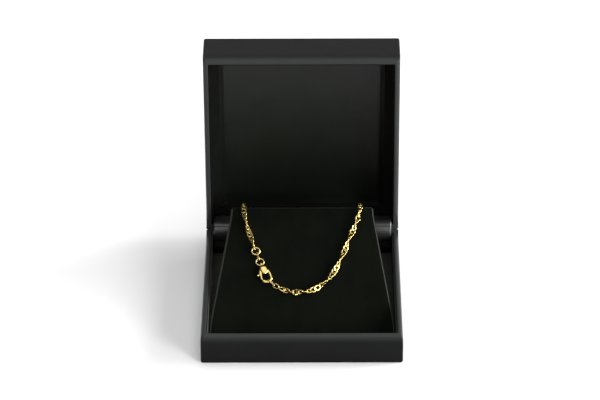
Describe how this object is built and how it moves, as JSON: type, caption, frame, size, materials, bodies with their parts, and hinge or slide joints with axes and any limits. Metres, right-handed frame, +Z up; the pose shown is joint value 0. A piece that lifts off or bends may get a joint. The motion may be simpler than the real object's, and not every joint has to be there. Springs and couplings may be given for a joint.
{
  "type": "singapore chain necklace on a velvet pad in an open presentation box",
  "caption": "Gold twisted curb chain necklace with a lobster clasp, laid over a black velvet pad in a hinged black presentation box.",
  "frame": {"origin": "centre of the flat underside of the box's base", "axes": "+X to the right as seen from the front, +Y from the box's front to its hinge, +Z up"},
  "size_m": [0.09, 0.1116, 0.1045],
  "materials": {
    "box_leatherette": "black leatherette with a fine grain and a low sheen",
    "lining": "black satin cloth over card",
    "hinge_satin": "shiny black satin ribbon over a metal leaf",
    "pad_velvet": "deep black velvet",
    "gold": "polished yellow gold"
  },
  "bodies": {
    "box": {"base_shell": "box_leatherette", "base_lining": "lining", "base_hinge_leaf": "hinge_satin", "display_pad": "pad_velvet", "chain_left": "gold", "chain_right": "gold", "jump_ring": "gold", "connecting_link": "gold", "clasp_ring": "gold", "clasp_body": "gold", "hook_link": "gold", "end_link": "gold"},
    "lid": {"lid_shell": "box_leatherette", "lid_lining": "lining", "lid_hinge_leaf": "hinge_satin"},
    "lever": {"clasp_lever": "gold"}
  },
  "joints": [
    {"name": "lid_hinge", "type": "hinge", "parent": "box", "child": "lid", "pos_m": [0, 0.045, 0.0145], "axis": [1, 0, 0], "range_deg": [0, 90]},
    {"name": "clasp_lever_pivot", "type": "hinge", "parent": "box", "child": "lever", "pos_m": [-0.01835, -0.0001, 0.02063], "axis": [0, -0.3137, 0.9495], "range_deg": [0, 15], "stiffness_Nm_per_rad": 0.00005, "springref_deg": -17.19}
  ]
}
